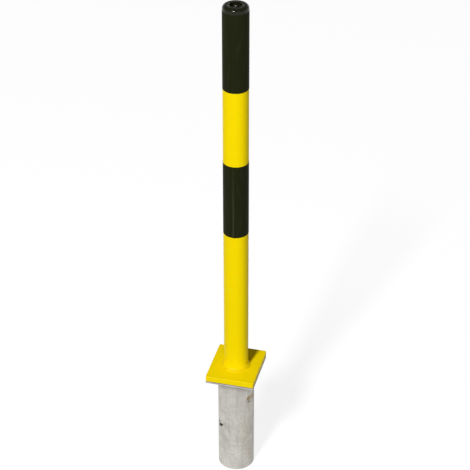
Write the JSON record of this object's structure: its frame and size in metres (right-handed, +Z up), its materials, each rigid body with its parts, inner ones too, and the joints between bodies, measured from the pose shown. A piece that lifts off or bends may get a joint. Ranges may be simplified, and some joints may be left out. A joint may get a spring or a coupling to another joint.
{
  "type": "removable barrier post with ground sleeve",
  "caption": "Steel tube barrier post with yellow and black bands, a triangular key lock in its rounded head and a welded foot plate, standing in a galvanised ground sleeve.",
  "frame": {"origin": "on the sleeve's axis at the underside of the sleeve's plate, which is the ground line", "axes": "+Z up along the post, -Y towards the front edge of the plates, +X to the right of the front"},
  "size_m": [0.122, 0.141, 1.2891],
  "materials": {
    "galvanised_steel": "hot-dip galvanised, dull and mottled",
    "rusty_steel": "bare, dull, with pale rust",
    "yellow_paint": "gloss powder coat",
    "black_film": "satin adhesive film",
    "black_paint": "gloss black paint",
    "bronze": "turned bearing bronze",
    "nylon": "moulded",
    "plain_steel": "turned, lightly oiled"
  },
  "bodies": {
    "ground_sleeve": {"sleeve_tube": "galvanised_steel", "sleeve_plate": "galvanised_steel", "sleeve_weld": "galvanised_steel", "guide_ring": "galvanised_steel", "keeper_front": "galvanised_steel", "keeper_back": "galvanised_steel", "keeper_welds": "galvanised_steel", "locating_peg": "rusty_steel"},
    "post": {"post_tube": "yellow_paint", "foot_plate": "yellow_paint", "foot_weld": "yellow_paint", "upper_band": "black_film", "lower_band": "black_film", "head_cap": "black_paint", "key_cup": "black_paint", "spindle_bush": "bronze", "rod_guide": "nylon", "bearing_plate": "plain_steel", "lower_bush": "bronze", "stop_pin": "plain_steel"},
    "lock": {"key_spindle": "plain_steel", "thrust_washer": "plain_steel", "snap_ring": "plain_steel", "coupling_tube": "plain_steel", "coupling_pins": "plain_steel", "lock_rod": "plain_steel", "stop_collar": "plain_steel", "collar_pin": "plain_steel", "crossbar": "plain_steel", "crossbar_pin": "plain_steel"}
  },
  "joints": [
    {"name": "post_lift", "type": "slide", "parent": "ground_sleeve", "child": "post", "axis": [0, 0, 1], "range_m": [0, 0.24]},
    {"name": "key_turn", "type": "hinge", "parent": "post", "child": "lock", "pos_m": [0, 0, 0.98], "axis": [0, 0, 1], "range_deg": [0, 90]}
  ]
}
